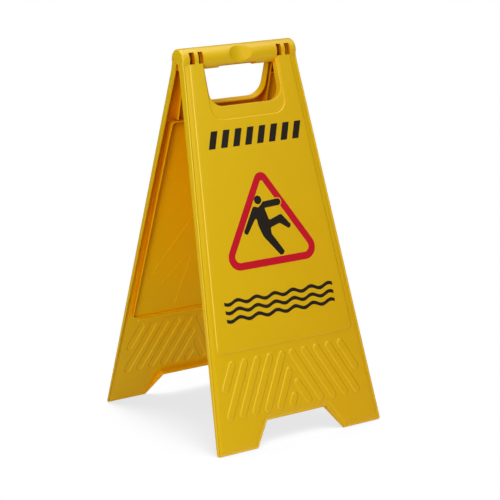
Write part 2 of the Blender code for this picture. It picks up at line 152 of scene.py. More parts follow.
def to_world(point, side):
    u, s, n = point
    return (
        u * MM,
        -side * (s * SIN + n * COS) * MM,
        (HINGE_Z - s * COS + n * SIN) * MM,
    )


# --- outlines -------------------------------------------------------------------------------------


class Outline:
    """A closed outline of sharp corners with radii, that can be drawn at any inset."""

    def __init__(self, corners):
        points = [Vector((u, s)) for u, s, radius in corners]
        area = sum(a.cross(b) for a, b in zip(points, points[1:] + points[:1]))
        if area < 0:
            corners = corners[::-1]
            points = points[::-1]
        self.points = points
        self.radii = [radius for u, s, radius in corners]

    def ring(self, inset=0.0):
        """Points of the outline moved inwards by inset; the count is the same for every inset."""
        count = len(self.points)
        moved = []
        for i, point in enumerate(self.points):
            before = (point - self.points[i - 1]).normalized()
            after = (self.points[(i + 1) % count] - point).normalized()
            inward = Vector((-before.y, before.x)) + Vector((-after.y, after.x))
            moved.append(point + inward * inset / (1.0 + before.dot(after)))
        ring = []
        for i, corner in enumerate(moved):
            back = (moved[i - 1] - corner).normalized()
            ahead = (moved[(i + 1) % count] - corner).normalized()
            turn = back.cross(ahead)
            convex = turn < 0
            radius = self.radii[i] - inset if convex else self.radii[i] + inset
            radius = max(radius, 0.15)
            half = back.angle(ahead) / 2
            reach = radius / math.tan(half)
            centre = corner + (back + ahead).normalized() * radius / math.sin(half)
            start = corner + back * reach - centre
            end = corner + ahead * reach - centre
            angle = math.atan2(start.cross(end), start.dot(end))
            base = math.atan2(start.y, start.x)
            for k in range(ARC + 1):
                a = base + angle * k / ARC
                ring.append((centre.x + radius * math.cos(a), centre.y + radius * math.sin(a)))
        return ring


def symmetric(right_half):
    return Outline(right_half + [(-u, s, radius) for u, s, radius in reversed(right_half)])


def panel_outline():
    flush = TUBE_HALF - 0.05
    flush_down = PANEL_FOOT * (flush - TOP_HALF) / (FOOT_HALF - TOP_HALF)
    return symmetric(
        [
            (flush, PANEL_TOP, 1.0),
            (flush, flush_down, 30.0),
            (half_width(PANEL_FOOT), PANEL_FOOT, 4.0),
            (NOTCH_FOOT_HALF, PANEL_FOOT, 3.0),
            (NOTCH_TOP_HALF, NOTCH_TOP, 3.0),
        ]
    )


def sign_outline(top, inset, top_radius):
    return symmetric(
        [
            (sign_half(top) - inset, top, top_radius),
            (sign_half(SIGN_FOOT) - inset, SIGN_FOOT - inset, 9.0),
        ]
    )


def u_outline(half, top, bottom, radius):
    return symmetric([(half, top, 0.5), (half, bottom, radius)])


def box_outline(u0, u1, s0, s1, radius):
    return Outline([(u0, s0, radius), (u1, s0, radius), (u1, s1, radius), (u0, s1, radius)])


def disc_outline(centre, radius):
    u, s = centre
    corner = radius - 0.01
    return box_outline(u - radius, u + radius, s - radius, s + radius, corner)


def capsule_outline(a, b, width):
    """A round-ended bar between the centres of its two ends."""
    a, b = Vector(a), Vector(b)
    along = (b - a).normalized() * width / 2
    across = Vector((-along.y, along.x))
    ends = [a - along + across, a - along - across, b + along - across, b + along + across]
    return Outline([(p.x, p.y, width / 2 - 0.01) for p in ends])


# --- relief: rings joined into a closed skin ------------------------------------------------------


class Skin:
    """A mesh made of rings of outlines, joined by strips and flat fills."""

    def __init__(self):
        self.shape = bmesh.new()

    def ring(self, points, height):
        level = height if callable(height) else (lambda u, s: height)
        return [self.shape.verts.new((u, s, level(u, s))) for u, s in points]

    def strips(self, rings):
        for low, high in zip(rings, rings[1:]):
            for i in range(len(low)):
                j = (i + 1) % len(low)
                self.shape.faces.new((low[i], low[j], high[j], high[i]))

    def profile(self, outline, steps):
        """Rings at each (inset, height) step, joined; returns the first and the last ring."""
        rings = [self.ring(outline.ring(inset), height) for inset, height in steps]
        self.strips(rings)
        return rings[0], rings[-1]

    def fill(self, *rings):
        """Fills the flat area inside the first ring and outside the others.

        The turned edges remove flat slivers, and keeping them in order gives the same mesh each run.
        """
        outlines = [[Vector((v.co.x, v.co.y, 0.0)) for v in ring] for ring in rings]
        verts = [v for ring in rings for v in ring]
        faces = []
        for triangle in geometry.tessellate_polygon(outlines):
            corners = [verts[i] for i in triangle]
            if len(set(corners)) == 3:
                faces.append(self.shape.faces.new(corners))
        edges = dict.fromkeys(edge for face in faces for edge in face.edges)
        inner = [edge for edge in edges if all(face in faces for face in edge.link_faces)]
        inner = [edge for edge in inner if len(edge.link_faces) == 2]
        bmesh.ops.beautify_fill(self.shape, faces=faces, edges=inner)

    def to_object(self, name, side):
        """A closed object, with its feet cut level with the floor."""
        bmesh.ops.remove_doubles(self.shape, verts=self.shape.verts, dist=DRAWN_MERGE)
        for vert in self.shape.verts:
            u, s, n = vert.co
            sheared = s + (n - BORDER) * SIN / COS * fade(FOOT_CUT_FADE, s)
            vert.co = to_world((u, sheared, n), side)
        bmesh.ops.recalc_face_normals(self.shape, faces=self.shape.faces)
        if self.shape.calc_volume(signed=True) < 0:
            bmesh.ops.reverse_faces(self.shape, faces=self.shape.faces)
        mesh = bpy.data.meshes.new(name)
        self.shape.to_mesh(mesh)
        self.shape.free()
        return link(name, mesh)


def link(name, mesh):
    thing = bpy.data.objects.new(name, mesh)
    bpy.context.scene.collection.objects.link(thing)
    return thing


def smooth(t):
    t = min(max(t, 0.0), 1.0)
    return t * t * (3 - 2 * t)


def fade(span, s):
    """From 0 at the start of the span to 1 at its end, smoothly."""
    return smooth((s - span[0]) / (span[1] - span[0]))


def edge_level(base):
    """A height inside the tray that meets the tray's floor where the side walls run out at the feet."""

    def level(u, s):
        t = min(max((s - FOOT_TAPER[0]) / (FOOT_TAPER[1] - FOOT_TAPER[0]), 0.0), 1.0)
        return base + (FLOOR_SIDE - base) * t

    return level


def rib_top(extra):
    """The box rib's free edge: full depth at the top, lower towards the foot, lowest along the bottom."""

    def level(u, s):
        slope = EDGE + RIB_SLOPE * min(max((s - BOX_TOP) / RIB_SLOPE_LENGTH, 0.0), 1.0)
        return slope + (RIB_FOOT_LEVEL - slope) * fade(RIB_FOOT_FADE, s) + extra

    return level


def recess_floor(s):
    """The recess round the hand opening is deeper next to the handle."""
    return BORDER - RECESS_DEPTH * (1.0 - fade(RECESS_FADE, s))


def recess_wall(fraction):
    return lambda u, s: FACE + (recess_floor(s) - FACE) * fraction


def under_recess(drop):
    return lambda u, s: recess_floor(s) - drop


# Each list below is a profile: (inset from the outline, height) from its first ring to its last.
PANEL_STEPS = [
    (9.6, BORDER),
    (8.2, BORDER - 0.16),
    (6.8, BORDER - 0.38),
    (5.6, BORDER - 0.62),
    (4.6, BORDER - 0.84),
    (3.9, BORDER - 0.97),
    (3.5, BORDER - 1.00),
    (3.2, BORDER - 0.94),
    (2.8, BORDER - 0.70),
    (2.4, BORDER - 0.40),
    (2.0, BORDER - 0.22),
    (1.6, BORDER - 0.20),
    (1.1, BORDER - 0.38),
    (0.6, BORDER - 0.80),
    (0.25, BORDER - 1.45),
    (0.12, BORDER - 2.20),
    (-0.4, edge_level(EDGE + 0.6)),
    (-0.24, edge_level(EDGE + 0.18)),
    (0.2, edge_level(EDGE)),
    (1.6, edge_level(EDGE)),
    (2.0, edge_level(EDGE + 0.18)),
    (2.2, edge_level(EDGE + 0.6)),
    (2.5, edge_level(FLOOR_SIDE - 0.9)),
    (2.75, edge_level(FLOOR_SIDE - 0.25)),
    (3.4, FLOOR_SIDE),
]

SIGN_STEPS = [
    (-1.5, BORDER),
    (-0.9, BORDER + 0.03),
    (-0.45, BORDER + 0.12),
    (-0.1, BORDER + 0.38),
    (0.3, BORDER + 0.82),
    (0.7, BORDER + 1.08),
    (1.4, BORDER + 1.24),
    (2.7, BORDER + 1.38),
    (4.2, BORDER + 1.46),
    (5.7, FACE),
]

RECESS_STEPS = [
    (-1.1, FACE),
    (-0.5, recess_wall(0.06)),
    (-0.1, recess_wall(0.30)),
    (0.3, recess_wall(0.72)),
    (0.7, recess_wall(0.94)),
    (1.2, recess_wall(1.0)),
]

OPENING_STEPS = [
    (-1.5, under_recess(0.0)),
    (-0.75, under_recess(0.15)),
    (-0.2, under_recess(0.65)),
    (0.0, under_recess(1.4)),
    (0.0, EDGE + 0.9),
    (-0.2, EDGE + 0.3),
    (-0.8, EDGE),
    (-1.7, EDGE),
    (-2.3, EDGE + 0.25),
    (-2.5, EDGE + 0.8),
    (-2.5, FLOOR_SIDE - 0.9),
    (-2.75, FLOOR_SIDE - 0.25),
    (-3.3, FLOOR_SIDE),
]

BOX_STEPS = [
    (-0.9, FLOOR_SIDE),
    (-0.25, FLOOR_SIDE - 0.25),
    (0.0, FLOOR_SIDE - 0.8),
    (0.0, rib_top(0.5)),
    (0.35, rib_top(0.0)),
    (RIB - 0.35, rib_top(0.0)),
    (RIB, rib_top(0.5)),
    (RIB, SIGN_BACK - 0.8),
    (RIB + 0.25, SIGN_BACK - 0.25),
    (RIB + 0.9, SIGN_BACK),
]

UPRIGHT_STEPS = [
    (-0.9, FLOOR_SIDE),
    (-0.25, FLOOR_SIDE - 0.25),
    (0.0, FLOOR_SIDE - 0.8),
    (0.0, EDGE + 0.5),
    (0.35, EDGE),
]

SILL_STEPS = [
    (-0.8, FLOOR_SIDE),
    (0.0, FLOOR_SIDE - 0.5),
    (0.8, FLOOR_SIDE - 0.9),
    (1.6, FLOOR_SIDE - 1.0),
]

BAR_STEPS = [
    (-1.0, BORDER),
    (-0.5, BORDER + 0.08),
    (0.0, BORDER + 0.35),
    (0.6, BORDER + 0.85),
    (1.3, BORDER + 1.15),
    (2.4, BORDER + 1.30),
]

GROOVE_STEPS = [
    (-0.6, FLOOR_SIDE),
    (0.0, FLOOR_SIDE + 0.15),
    (0.6, FLOOR_SIDE + 0.70),
    (1.4, FLOOR_SIDE + 1.05),
    (2.4, FLOOR_SIDE + 1.15),
]

CREASE_STEPS = [
    (-0.3, SIGN_BACK),
    (0.0, SIGN_BACK - 0.3),
    (0.3, SIGN_BACK - 0.5),
]

BAR_WIDTH = 12.0
BAR_PITCH = 23.0
BAR_SLOPE = 0.526
BAR_SPAN = (467.0, 543.0)
LEFT_BAR = -12.0
RIGHT_BAR = 7.0


def grip_bars():
    """Outlines of the herringbone bars: full ones, short ones at the edges and short ones mid-way."""
    top, bottom = BAR_SPAN
    full = [(order, top, bottom) for order in range(4)]
    left = full + [(4, top, 501.0), (-1, 494.0, bottom), (-2, 533.0, bottom)]
    right = full + [(4, top, 507.0), (-1, 514.0, bottom)]
    bars = []
    for lean, first, rows in ((-1, LEFT_BAR, left), (1, RIGHT_BAR, right)):
        for order, start, end in rows:
            u = first + lean * BAR_PITCH * order
            a = (u + lean * BAR_SLOPE * (start - top), start)
            b = (u + lean * BAR_SLOPE * (end - top), end)
            bars.append(capsule_outline(a, b, BAR_WIDTH))
    return bars


def creases():
    """Faint mould lines on the hidden side of the sign area, mirrored about the middle."""
    lines = [
        ((-31.0, 281.0), (-96.0, 375.0)),
        ((-30.0, 345.0), (-78.0, 398.0)),
        ((-24.0, 352.0), (-43.0, 434.0)),
    ]
    mirrored = [((-a[0], a[1]), (-b[0], b[1])) for a, b in lines]
    return [capsule_outline(a, b, CREASE_WIDTH) for a, b in lines + mirrored]


def upright_ribs(side):
    """Under the rear panel's knuckles; the front panel's pair is the other way round."""
    shift = UPRIGHT_SHIFT * side
    return (shift - UPRIGHT_HALF, shift + UPRIGHT_HALF)


def tray(name, side):
    """One panel's moulded tray: outer face and inner face, joined round the edge and the hand opening."""
    skin = Skin()
    outer_border, inner_floor = skin.profile(panel_outline(), PANEL_STEPS)
    sign_low, sign_top = skin.profile(sign_outline(SIGN_TOP, 0.0, 1.0), SIGN_STEPS)
    recess = u_outline(RECESS_HALF, *RECESS_SPAN, RECESS_CORNER)
    recess_top, recess_low = skin.profile(recess, RECESS_STEPS)
    opening = u_outline(OPENING_HALF, *OPENING_SPAN, OPENING_CORNER)
    opening_out, opening_in = skin.profile(opening, OPENING_STEPS)
    bars = [skin.profile(bar, BAR_STEPS) for bar in grip_bars()]
    grooves = [skin.profile(bar, GROOVE_STEPS) for bar in grip_bars()]
    box_low, box_floor = skin.profile(sign_outline(BOX_TOP, 0.5, 8.0), BOX_STEPS)
    uprights = [
        skin.profile(box_outline(u - RIB / 2, u + RIB / 2, *UPRIGHT_SPAN, UPRIGHT_CORNER), UPRIGHT_STEPS)
        for u in upright_ribs(side)
    ]
    sill = skin.profile(box_outline(-SILL_HALF, SILL_HALF, *SILL_SPAN, SILL_CORNER), SILL_STEPS)
    lines = [skin.profile(line, CREASE_STEPS) for line in creases()]
    skin.fill(outer_border, sign_low, *[low for low, top in bars])
    skin.fill(sign_top, recess_top)
    skin.fill(recess_low, opening_out)
    inner_holes = [low for low, top in grooves + uprights + [sill]]
    skin.fill(inner_floor, opening_in, box_low, *inner_holes)
    skin.fill(box_floor, *[low for low, top in lines])
    for low, top in bars + grooves + uprights + [sill] + lines:
        skin.fill(top)
    return skin.to_object(name, side)


# --- cutting and joining ----------------------------------------------------------------------------


def settle(shape, name, side):
    """An object from a shape drawn in the panel's frame."""
    for vert in shape.verts:
        vert.co = to_world(vert.co, side)
    bmesh.ops.recalc_face_normals(shape, faces=shape.faces)
    mesh = bpy.data.meshes.new(name)
    shape.to_mesh(mesh)
    shape.free()
    return link(name, mesh)


def lathe(name, side, profile, segments=96):
    """A solid turned about the hinge axis, from (u, radius) points; both ends are closed flat."""
    shape = bmesh.new()
    rings = []
    for u, radius in profile:
        turns = [2 * math.pi * k / segments for k in range(segments)]
        rings.append([shape.verts.new((u, radius * math.cos(t), radius * math.sin(t))) for t in turns])
    for low, high in zip(rings, rings[1:]):
        for k in range(segments):
            j = (k + 1) % segments
            shape.faces.new((low[k], low[j], high[j], high[k]))
    shape.faces.new(rings[0])
    shape.faces.new(rings[-1])
    return settle(shape, name, side)


def round_bar(u0, u1, radius, start_fillet, end_fillet=None, pitch=1000.0):
    """A turned profile between u0 and u1 with rounded edges, and rings along it at about the pitch."""
    end_fillet = start_fillet if end_fillet is None else end_fillet
    turns = [math.pi / 2 * k / 8 for k in range(9)]
    start = [
        (u0 + start_fillet * (1 - math.sin(t)), radius - start_fillet * (1 - math.cos(t)))
        for t in reversed(turns)
    ]
    end = [
        (u1 - end_fillet * (1 - math.sin(t)), radius - end_fillet * (1 - math.cos(t))) for t in turns
    ]
    low, high = start[-1][0], end[0][0]
    count = max(int((high - low) / pitch), 1)
    between = [(low + (high - low) * k / count, radius) for k in range(1, count)]
    return start + between + end


def prism(name, side, profile, u0, u1):
    """A prism across the panel whose profile is a list of (s, n) points."""
    shape = bmesh.new()
    near = [shape.verts.new((u0, s, n)) for s, n in profile]
    far = [shape.verts.new((u1, s, n)) for s, n in profile]
    shape.faces.new(near)
    shape.faces.new(far)
    for i in range(len(profile)):
        j = (i + 1) % len(profile)
        shape.faces.new((near[i], near[j], far[j], far[i]))
    return settle(shape, name, side)


def block(name, side, us, ss, ns):
    return prism(name, side, [(ss[0], ns[0]), (ss[1], ns[0]), (ss[1], ns[1]), (ss[0], ns[1])], *us)


def bake(thing):
    """Applies the object's modifiers to its mesh."""
    graph = bpy.context.evaluated_depsgraph_get()
    mesh = bpy.data.meshes.new_from_object(thing.evaluated_get(graph))
    thing.modifiers.clear()
    thing.data = mesh


def combine(thing, operation, tools):
    for tool in tools:
        boolean = thing.modifiers.new(tool.name, "BOOLEAN")
        boolean.operation = operation
        boolean.solver = "EXACT"
        boolean.object = tool
    bake(thing)
    for tool in tools:
        bpy.data.objects.remove(tool)


def soften(thing, angle=32.0):
    """Smooth shading with crisp creases, weighted so that flat faces stay flat."""
    shape = bmesh.new()
    shape.from_mesh(thing.data)
    bmesh.ops.remove_doubles(shape, verts=shape.verts, dist=MESH_MERGE)
    bmesh.ops.dissolve_degenerate(shape, edges=shape.edges, dist=MESH_MERGE)
    shape.to_mesh(thing.data)
    shape.free()
    thing.data.shade_smooth()
    thing.data.set_sharp_from_angle(angle=math.radians(angle))
    weighted = thing.modifiers.new("weighted", "WEIGHTED_NORMAL")
    weighted.keep_sharp = True
    weighted.weight = 80
    bake(thing)


# --- the two panels ---------------------------------------------------------------------------------


DISH_HALF = (20.5, 13.0)
DISH_DEPTH = 5.2
DISH_RINGS = 24
DISH_TURNS = 96
DISH_OVERSHOOT = 1.15


def dish_ring(shape, rho):
    """One ring of the dish, at the share rho of its size."""
    ring = []
    for k in range(DISH_TURNS):
        t = 2 * math.pi * k / DISH_TURNS
        u = DISH_HALF[0] * rho * math.cos(t)
        s = DISH_HALF[1] * rho * math.sin(t)
        n = math.sqrt(TUBE_R**2 - s**2) - DISH_DEPTH * (1 - rho**2)
        ring.append(shape.verts.new((u, s, n)))
    return ring


def thumb_dish():
    """A lens whose under side is the dish: an oval bowl sunk into the front of the handle."""
    shape = bmesh.new()
    rings = [dish_ring(shape, DISH_OVERSHOOT * step / DISH_RINGS) for step in range(1, DISH_RINGS + 1)]
    rings.append([shape.verts.new((v.co.x, v.co.y, 2 * TUBE_R)) for v in rings[-1]])
    for low, high in zip(rings, rings[1:]):
        for k in range(DISH_TURNS):
            j = (k + 1) % DISH_TURNS
            shape.faces.new((low[k], low[j], high[j], high[k]))
    bottom = shape.verts.new((0.0, 0.0, TUBE_R - DISH_DEPTH))
    for k in range(DISH_TURNS):
        shape.faces.new((bottom, rings[0][k], rings[0][(k + 1) % DISH_TURNS]))
    shape.faces.new(rings[-1])
    return settle(shape, "thumb_dish", FRONT)


ROOM_ARC = 24
ROOM_REACH = 20.0


def cheek_rooms():
    """Room in the handle's ends for the rear panel's side walls."""
    down = SHOULDER - GAP
    along = Vector((math.cos(2 * HALF_ANGLE), -math.sin(2 * HALF_ANGLE)))
    outward = Vector((-math.sin(2 * HALF_ANGLE), -math.cos(2 * HALF_ANGLE)))
    start = along * down + outward * math.sqrt(HUB_R**2 - down**2)
    arc_from = math.atan2(start.y, start.x)
    arc_to = math.asin(EDGE / HUB_R)
    turns = [arc_from + (arc_to - arc_from) * k / ROOM_ARC for k in range(ROOM_ARC + 1)]
    arc = [(HUB_R * math.cos(t), HUB_R * math.sin(t)) for t in turns]
    profile = [tuple(along * down + outward * DEPTH)] + arc + [(DEPTH, EDGE), (DEPTH, -DEPTH)]
    return [
        prism("room", FRONT, profile, CHEEK, CHEEK + ROOM_REACH),
        prism("room", FRONT, profile, -CHEEK - ROOM_REACH, -CHEEK),
    ]


CROSS_SPAN = (37.6, 39.0)
CROSS_EDGE = 2.0


def cross_rib(side):
    """A short rib from the inner upright rib to the side wall."""
    left, right = upright_ribs(side)
    wall = half_width(CROSS_SPAN[1]) - 1.0
    bay = (-wall, left) if side == FRONT else (right, wall)
    return block("cross", side, bay, CROSS_SPAN, (CROSS_EDGE, FLOOR_SIDE + 1.0))


def above(side, line):
    """Everything of a panel that is nearer the hinge than the line."""
    return block("above", side, (-BEYOND, BEYOND), (-DEPTH, line), (-DEPTH, DEPTH))


HUB_ROOM_HALF = 120.0
TUBE_ROOM_HALF = CHEEK + 0.3


def room_for_hub():
    ends = [(-HUB_ROOM_HALF, HUB_R + GAP), (HUB_ROOM_HALF, HUB_R + GAP)]
    return lathe("room_for_hub", REAR, ends, 64)


def room_for_tube():
    ends = [(-TUBE_ROOM_HALF, TUBE_R + 0.4), (TUBE_ROOM_HALF, TUBE_R + 0.4)]
    return lathe("room_for_tube", REAR, ends, ROUND)


def ears():
    """The rear panel's round ends, which complete the handle's ends below the shoulders."""
    both = []
    for low, high, fillets in (
        (-TUBE_HALF, -CHEEK - 0.4, (TUBE_FILLET, EAR_FILLET)),
        (CHEEK + 0.4, TUBE_HALF, (EAR_FILLET, TUBE_FILLET)),
    ):
        ear = lathe("ear", REAR, round_bar(low, high, TUBE_R, *fillets), ROUND)
        inside = block("inside", REAR, (-BEYOND, BEYOND), (-DEPTH, DEPTH), (-DEPTH, EDGE + 0.1))
        combine(ear, "DIFFERENCE", [above(REAR, SHOULDER), inside, room_for_hub()])
        both.append(ear)
    return both


BARREL_BORE = 14.4
WINDOW_OUT = (6.0, 30.0)
SLOT_DOWN = (-9.5, 40.0)
SLOT_OUT = (-40.0, -0.2)
CORE_HALF = 60.0
CORE_R = 9.5
CORE_SLOT = (-30.0, 27.5)
CORE_SLOT_OUT = 4.0
RELIEF = (-34.0, 31.5)
RELIEF_TOP = 14.4
UNDER_TUBE = 18.1
PIN_BORE_PAST = 6.2


def barrel_cuts():
    """The hollows of the handle: bores, windows and slots for the knuckles, and the core behind the grip."""
    chambers = CHAMBERS_WITH_KNUCKLE + CHAMBERS_EMPTY
    cuts = [lathe("bore", FRONT, [(u0, BARREL_BORE), (u1, BARREL_BORE)]) for u0, u1 in chambers]
    cuts += [block("window", FRONT, span, WINDOW, WINDOW_OUT) for span in chambers]
    cuts += [block("slot", FRONT, span, SLOT_DOWN, SLOT_OUT) for span in CHAMBERS_WITH_KNUCKLE]
    cuts += [lathe("core", FRONT, [(-CORE_HALF, CORE_R), (CORE_HALF, CORE_R)])]
    cuts += [block("core_slot", FRONT, CORE_SLOT, (0.0, UNDER_TUBE), (-CORE_SLOT_OUT, CORE_SLOT_OUT))]
    cuts += [block("relief", FRONT, RELIEF, (RELIEF_TOP, UNDER_TUBE), (-DEPTH, DEPTH))]
    cuts += [thumb_dish()]
    for u0, u1 in CHAMBERS_WITH_KNUCKLE:
        ends = [(u0 - PIN_BORE_PAST, PIN_BORE), (u1 + PIN_BORE_PAST, PIN_BORE)]
        cuts += [lathe("pin_bore", FRONT, ends, 48)]
    return cuts + cheek_rooms()


WEB_SPANS = [(-70.4, -69.4), (88.6, 89.6)]
WEB_DOWN = (-13.0, 13.0)
WEB_OUT = (-3.0, 12.0)


def front_panel():
    body = tray("front_panel_shell", FRONT)
    combine(body, "DIFFERENCE", [above(FRONT, TRIM_TOP)])
    tube = lathe("tube", FRONT, round_bar(-TUBE_HALF, TUBE_HALF, TUBE_R, TUBE_FILLET, pitch=5.0), ROUND)
    combine(body, "UNION", [tube, cross_rib(FRONT)])
    combine(body, "DIFFERENCE", barrel_cuts())
    combine(body, "UNION", [block("web", FRONT, span, WEB_DOWN, WEB_OUT) for span in WEB_SPANS])
    soften(body)
    return body


KNUCKLE_CLEARANCE = 0.5
KNUCKLE_FILLET = 0.6
ARM_DOWN = (0.5, 20.0)
ARM_OUT = (4.5, 13.8)
PIN_BORE_HALF = 97.0


def rear_panel():
    body = tray("rear_panel_shell", REAR)
    combine(body, "DIFFERENCE", [room_for_tube(), above(REAR, SHOULDER), room_for_hub()])
    spans = [(u0 + KNUCKLE_CLEARANCE, u1 - KNUCKLE_CLEARANCE) for u0, u1 in CHAMBERS_WITH_KNUCKLE]
    knuckles = [
        lathe("knuckle", REAR, round_bar(u0, u1, KNUCKLE_R, KNUCKLE_FILLET), 64) for u0, u1 in spans
    ]
    arms = [block("arm", REAR, span, ARM_DOWN, ARM_OUT) for span in spans]
    combine(body, "UNION", [cross_rib(REAR)] + knuckles + arms + ears())
    bore = lathe("pin_bore", REAR, [(-PIN_BORE_HALF, PIN_BORE), (PIN_BORE_HALF, PIN_BORE)], 48)
    combine(body, "DIFFERENCE", [bore])
    soften(body)
    return body


# --- prints -----------------------------------------------------------------------------------------


PRINT_STEPS = [(0.0, FACE - 0.10), (0.0, FACE + 0.12 - 0.04), (0.05, FACE + 0.12)]
HOLE_STEPS = [(-inset, height) for inset, height in PRINT_STEPS]


def print_film(name, side, outlines):
    """Thin closed films of ink; each is an outline, or an outline with the outline of its hole."""
    skin = Skin()
    for outline, hole in outlines:
        bottom, top = skin.profile(outline, PRINT_STEPS)
        if hole is None:
            skin.fill(bottom)
            skin.fill(top)
        else:
            hole_bottom, hole_top = skin.profile(hole, HOLE_STEPS)
            skin.fill(bottom, hole_bottom)
            skin.fill(top, hole_top)
    return skin.to_object(name, side)


def film_prism(name, side, points, low, high):
    shape = bmesh.new()
    bottom = [shape.verts.new((u, s, low)) for u, s in points]
    top = [shape.verts.new((u, s, high)) for u, s in points]
    for i in range(len(points)):
        j = (i + 1) % len(points)
        shape.faces.new((bottom[i], bottom[j], top[j], top[i]))
    shape.faces.new(bottom)
    shape.faces.new(top)
    return settle(shape, name, side)


HEAD = ((-11.5, 226.7), 6.7)
BODY = [
    (-21.5, 235.0, 4.0),
    (-45.7, 272.9, 3.2),
    (-40.3, 278.3, 3.2),
    (-19.0, 252.1, 2.0),
    (-17.4, 266.7, 12.0),
    (-11.5, 283.3, 12.0),
    (15.1, 316.7, 4.3),
    (24.3, 312.5, 4.3),
    (4.3, 281.3, 5.0),
    (4.3, 271.7, 2.5),
    (21.8, 266.7, 5.0),
    (37.6, 277.5, 3.2),
    (42.6, 272.5, 3.2),
    (26.8, 252.9, 5.0),
    (3.5, 260.0, 3.0),
    (-1.5, 240.4, 1.5),
    (29.3, 239.2, 5.0),
    (29.3, 228.6, 5.0),
    (-2.8, 230.4, 1.2),
    (-12.4, 238.6, 5.0),
]


def figure(side):
    """A slipping figure: a round head over one rounded body outline."""
    return print_film("slipping_figure", side, [(disc_outline(*HEAD), None), (Outline(BODY), None)])


HALO = 1.7


def triangle(side):
    """A rounded triangle, cut back round the figure's hand and feet."""
    outer = Outline([(0.0, 173.2, 13.0), (95.9, 329.0, 20.0), (-95.9, 329.0, 20.0)])
    inner = Outline([(0.0, 195.1, 3.0), (75.3, 317.5, 9.0), (-75.3, 317.5, 9.0)])
    ring = print_film("warning_triangle", side, [(outer, inner)])
    halo = film_prism("halo", side, Outline(BODY).ring(-HALO), FACE - 1, FACE + 1)
    combine(ring, "DIFFERENCE", [halo])
    return ring


HAZARD_COUNT = 8
HAZARD_START = -84.0
HAZARD_PITCH = 22.0
HAZARD_SPAN = (114.0, 141.0)
HAZARD_WIDTH = 12.0
HAZARD_LEAN = 9.0
HAZARD_CORNER = 0.8


def hazard_bars(side):
    """A row of slanted bars across the top of the sign area."""
    top, bottom = HAZARD_SPAN
    bars = []
    for k in range(HAZARD_COUNT):
        u = HAZARD_START + HAZARD_PITCH * k
        corners = [
            (u, bottom, HAZARD_CORNER),
            (u + HAZARD_LEAN, top, HAZARD_CORNER),
            (u + HAZARD_LEAN + HAZARD_WIDTH, top, HAZARD_CORNER),
            (u + HAZARD_WIDTH, bottom, HAZARD_CORNER),
        ]
        bars.append((Outline(corners), None))
    return print_film("hazard_bars", side, bars)


WAVE_ROWS = (374.0, 387.0, 400.0)
WAVE_HALF = 101.0
WAVE_THICK = 5.6
WAVE_SWING = 2.6
WAVE_LENGTH = 34.0
WAVE_STEPS = 120


class Wave:
    """A wavy stripe that draws itself as an outline."""

    def __init__(self, s):
        self.s = s

    def ring(self, inset=0.0):
        half = WAVE_HALF
        steps = [-(half - inset) + 2 * (half - inset) * k / WAVE_STEPS for k in range(WAVE_STEPS + 1)]
        middle = [(u, self.s + WAVE_SWING * math.sin(2 * math.pi * u / WAVE_LENGTH)) for u in steps]
        reach = WAVE_THICK / 2 - inset
        top = [(u, m - reach) for u, m in middle]
        return top + [(u, m + reach) for u, m in reversed(middle)]


def water_lines(side):
    return print_film("water_lines", side, [(Wave(s), None) for s in WAVE_ROWS])


# --- materials --------------------------------------------------------------------------------------


# Sockets of a colour mix, which have no names of their own.
MIX_AMOUNT = 0
MIX_FIRST = 6
MIX_SECOND = 7
MIX_RESULT = 2


def feed(tree, socket, value):
    """Sets an input to a number or a colour, or links it to another node's output."""
    if isinstance(value, bpy.types.NodeSocket):
        tree.links.new(value, socket)
    elif isinstance(value, tuple):
        socket.default_value = (*value, 1.0)
    else:
        socket.default_value = value


def colour_mix(tree, amount, first, second, blend="MIX"):
    mix = tree.nodes.new("ShaderNodeMix")
    mix.data_type = "RGBA"
    mix.blend_type = blend
    feed(tree, mix.inputs[MIX_AMOUNT], amount)
    feed(tree, mix.inputs[MIX_FIRST], first)
    feed(tree, mix.inputs[MIX_SECOND], second)
    return mix.outputs[MIX_RESULT]


def ramp(tree, value, low, high, start=0.0, end=1.0):
    """Maps the value from low..high to start..end."""
    node = tree.nodes.new("ShaderNodeMapRange")
    node.inputs["From Min"].default_value = low
    node.inputs["From Max"].default_value = high
    node.inputs["To Min"].default_value = start
    node.inputs["To Max"].default_value = end
    tree.links.new(value, node.inputs["Value"])
    return node.outputs["Result"]


def noise(tree, scale, detail):
    node = tree.nodes.new("ShaderNodeTexNoise")
    node.inputs["Scale"].default_value = scale
    node.inputs["Detail"].default_value = detail
    where = tree.nodes.new("ShaderNodeTexCoord")
    tree.links.new(where.outputs["Object"], node.inputs["Vector"])
    return node.outputs["Fac"]


DRIFT_SCALE = 9.0
GRAIN_SCALE = 900.0
GRAIN_HEIGHT = 0.0002
GLOSS_DRIFT = 0.05


def new_material(name, base, dark, roughness, gloss_level, grain):
    """Moulded plastic or ink: a slow drift of colour and gloss over a fine grain."""
    material = bpy.data.materials.new(name)
    material.use_nodes = True
    tree = material.node_tree
    shader = tree.nodes["Principled BSDF"]
    shader.inputs["Specular IOR Level"].default_value = gloss_level
    drift = noise(tree, DRIFT_SCALE, 3.0)
    feed(tree, shader.inputs["Base Color"], colour_mix(tree, drift, dark, base))
    gloss = ramp(tree, drift, 0.0, 1.0, roughness - GLOSS_DRIFT, roughness + GLOSS_DRIFT)
    feed(tree, shader.inputs["Roughness"], gloss)
    bump = tree.nodes.new("ShaderNodeBump")
    bump.inputs["Strength"].default_value = grain
    bump.inputs["Distance"].default_value = GRAIN_HEIGHT
    feed(tree, bump.inputs["Height"], noise(tree, GRAIN_SCALE, 2.0))
    feed(tree, shader.inputs["Normal"], bump.outputs["Normal"])
    return material


def base_colour(shader):
    return shader.inputs["Base Color"].links[0].from_socket


# Direction and range of the painted light and shade tint across the panels.
PAINTED_LIGHT_DIRECTION = (3.33, 0.0, -0.86)
PAINTED_LIGHT_RANGE = (-0.80, 0.40)


